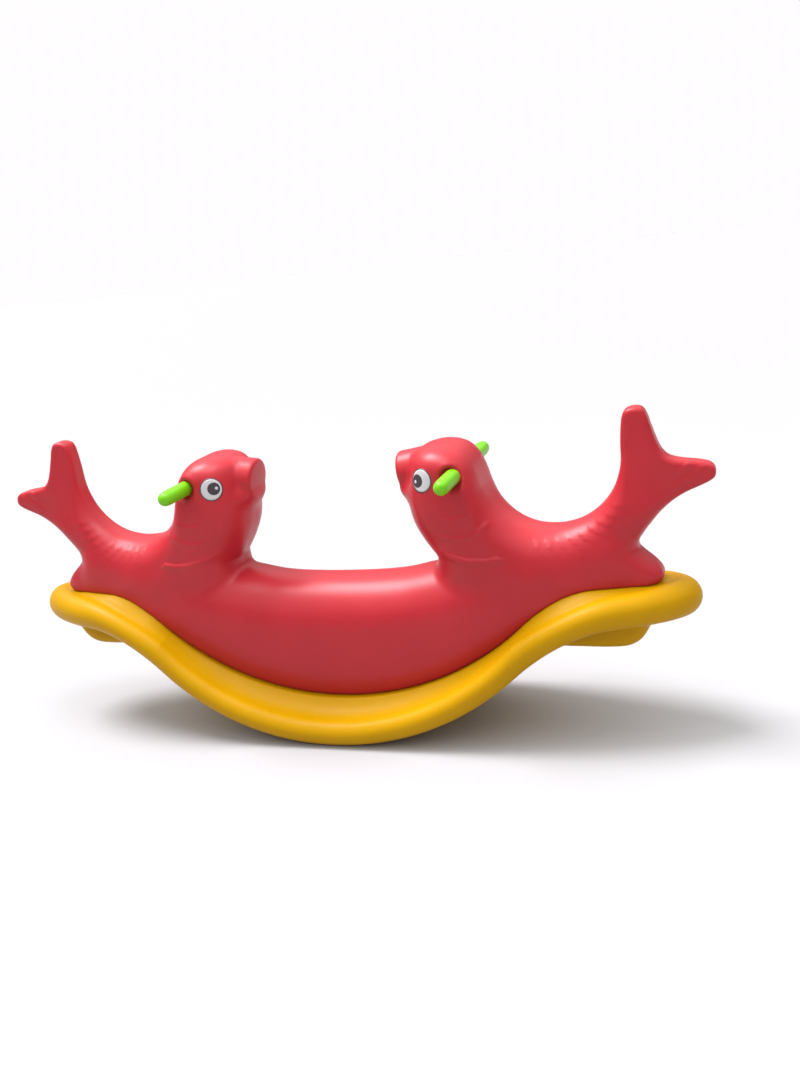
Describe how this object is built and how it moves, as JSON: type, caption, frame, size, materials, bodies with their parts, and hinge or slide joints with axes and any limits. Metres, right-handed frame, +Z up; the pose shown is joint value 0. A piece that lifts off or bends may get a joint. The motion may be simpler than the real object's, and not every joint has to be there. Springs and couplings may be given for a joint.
{
  "type": "children's rocking seesaw",
  "caption": "Moulded plastic rocking seesaw: two fish facing each other across a low centre seat, on a boat-shaped rocker base with handle stubs on each head.",
  "frame": {"origin": "on the floor under the middle of the object, at the lowest line of the rocker", "axes": "+Z up, +X along the length towards one tail, +Y across the seat along the handles"},
  "size_m": [1.2, 0.288, 0.4995],
  "materials": {
    "red_plastic": "satin moulded polyethylene",
    "yellow_plastic": "satin moulded polyethylene",
    "green_plastic": "satin moulded plastic",
    "decal": "printed vinyl sticker",
    "steel": "zinc plated",
    "plug_plastic": "soft black plastic"
  },
  "bodies": {
    "root": {"fish_body": "red_plastic", "rocker_base": "yellow_plastic", "handle_grip_left_front": "green_plastic", "handle_grip_left_back": "green_plastic", "handle_grip_right_front": "green_plastic", "handle_grip_right_back": "green_plastic", "eye_decal_left_front": "decal", "eye_decal_left_back": "decal", "eye_decal_right_front": "decal", "eye_decal_right_back": "decal", "handle_tie_rod_left": "steel", "handle_tie_rod_right": "steel", "handle_threaded_inserts": "steel", "base_bolts": "steel", "base_bolt_washers": "steel", "body_threaded_inserts": "steel", "body_vent_plug": "plug_plastic", "base_vent_plug": "plug_plastic"}
  },
  "joints": []
}
